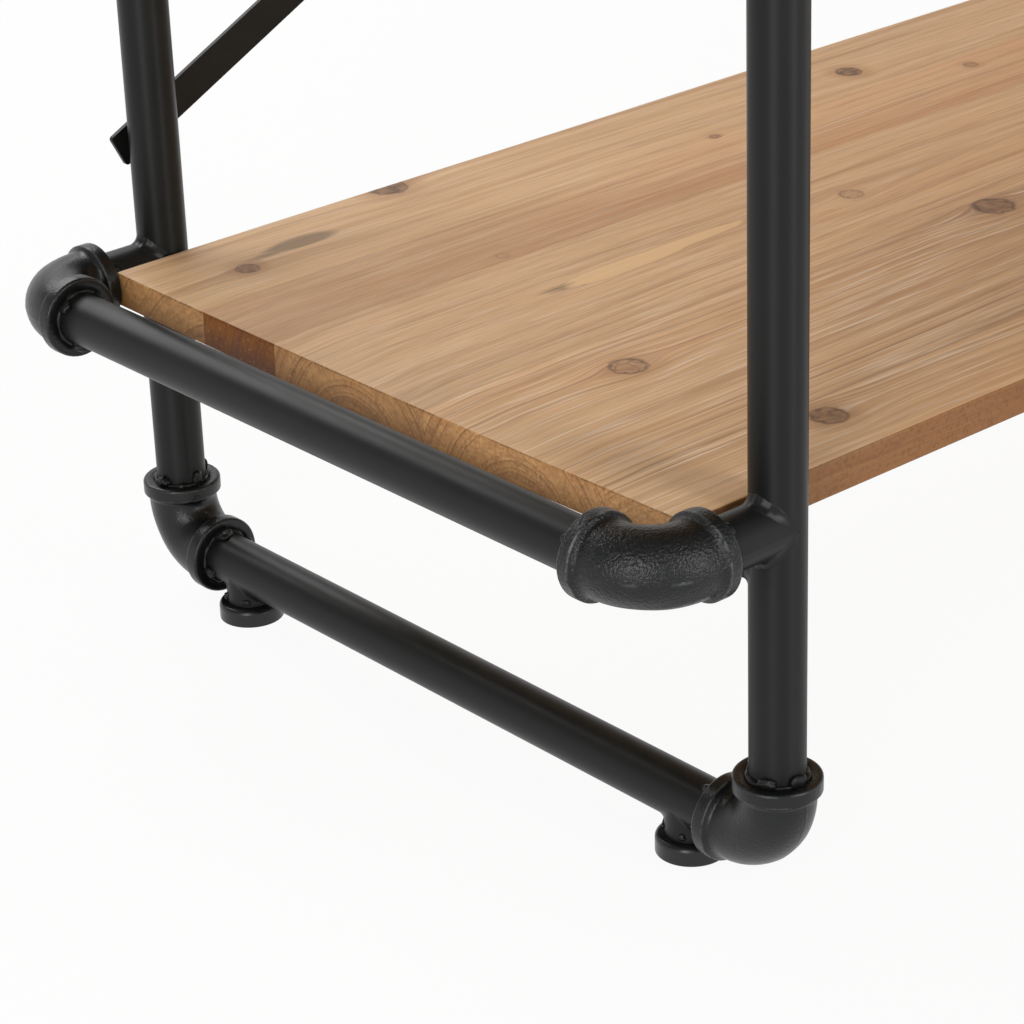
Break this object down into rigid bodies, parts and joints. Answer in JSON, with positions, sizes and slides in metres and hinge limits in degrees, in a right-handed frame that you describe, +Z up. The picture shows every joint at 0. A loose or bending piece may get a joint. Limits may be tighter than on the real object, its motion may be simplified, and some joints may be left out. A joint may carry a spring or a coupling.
{
  "type": "pipe shelving unit",
  "caption": "Free-standing shelving unit: welded black pipe end frames with cast elbows and end rails, solid fir boards, a crossed flat-bar brace on the back and levelling glides.",
  "frame": {"origin": "on the floor under the middle of the unit", "axes": "+X along the shelves to the right seen from the front, +Y to the back, +Z up"},
  "size_m": [1.2016, 0.5262, 1.0432],
  "materials": {
    "powder_coated_steel": "satin black powder coat on steel tube and flat bar",
    "malleable_iron": "black painted casting with a fine pebbled skin, rubbed on the bands",
    "fir": "glued fir staves, warm brown stain under a matt lacquer",
    "glide_nylon": "moulded black nylon with a soft gloss",
    "zinc_steel": "zinc plated steel"
  },
  "bodies": {
    "frame": {"back_left_foot_elbow": "malleable_iron", "back_left_lower_rail_elbow": "malleable_iron", "back_left_middle_rail_elbow": "malleable_iron", "back_left_post": "powder_coated_steel", "back_left_top_elbow": "malleable_iron", "back_left_upper_rail_elbow": "malleable_iron", "back_right_foot_elbow": "malleable_iron", "back_right_lower_rail_elbow": "malleable_iron", "back_right_middle_rail_elbow": "malleable_iron", "back_right_post": "powder_coated_steel", "back_right_top_elbow": "malleable_iron", "back_right_upper_rail_elbow": "malleable_iron", "brace_centre_bolt": "zinc_steel", "brace_centre_nut": "zinc_steel", "brace_end_bolts": "zinc_steel", "brace_rivet_nuts": "zinc_steel", "falling_brace": "powder_coated_steel", "front_left_foot_elbow": "malleable_iron", "front_left_lower_rail_elbow": "malleable_iron", "front_left_middle_rail_elbow": "malleable_iron", "front_left_post": "powder_coated_steel", "front_left_top_elbow": "malleable_iron", "front_left_upper_rail_elbow": "malleable_iron", "front_right_foot_elbow": "malleable_iron", "front_right_lower_rail_elbow": "malleable_iron", "front_right_middle_rail_elbow": "malleable_iron", "front_right_post": "powder_coated_steel", "front_right_top_elbow": "malleable_iron", "front_right_upper_rail_elbow": "malleable_iron", "glide_bosses": "powder_coated_steel", "left_foot_rail": "powder_coated_steel", "left_lower_end_rail": "powder_coated_steel", "left_middle_end_rail": "powder_coated_steel", "left_rail_stubs": "powder_coated_steel", "left_top_rail": "powder_coated_steel", "left_upper_end_rail": "powder_coated_steel", "lower_shelf": "fir", "lower_shelf_bearers": "powder_coated_steel", "middle_shelf": "fir", "middle_shelf_bearers": "powder_coated_steel", "right_foot_rail": "powder_coated_steel", "right_lower_end_rail": "powder_coated_steel", "right_middle_end_rail": "powder_coated_steel", "right_rail_stubs": "powder_coated_steel", "right_top_rail": "powder_coated_steel", "right_upper_end_rail": "powder_coated_steel", "rising_brace": "powder_coated_steel", "shelf_screws": "zinc_steel", "upper_shelf": "fir", "upper_shelf_bearers": "powder_coated_steel"},
    "front_left_glide": {"front_left_glide_pad": "glide_nylon", "front_left_glide_stud": "zinc_steel"},
    "back_left_glide": {"back_left_glide_pad": "glide_nylon", "back_left_glide_stud": "zinc_steel"},
    "front_right_glide": {"front_right_glide_pad": "glide_nylon", "front_right_glide_stud": "zinc_steel"},
    "back_right_glide": {"back_right_glide_pad": "glide_nylon", "back_right_glide_stud": "zinc_steel"}
  },
  "joints": [
    {"name": "front_left_glide_screw", "type": "slide", "parent": "frame", "child": "front_left_glide", "axis": [0, 0, -1], "range_m": [0, 0.01]},
    {"name": "back_left_glide_screw", "type": "slide", "parent": "frame", "child": "back_left_glide", "axis": [0, 0, -1], "range_m": [0, 0.01]},
    {"name": "front_right_glide_screw", "type": "slide", "parent": "frame", "child": "front_right_glide", "axis": [0, 0, -1], "range_m": [0, 0.01]},
    {"name": "back_right_glide_screw", "type": "slide", "parent": "frame", "child": "back_right_glide", "axis": [0, 0, -1], "range_m": [0, 0.01]}
  ]
}
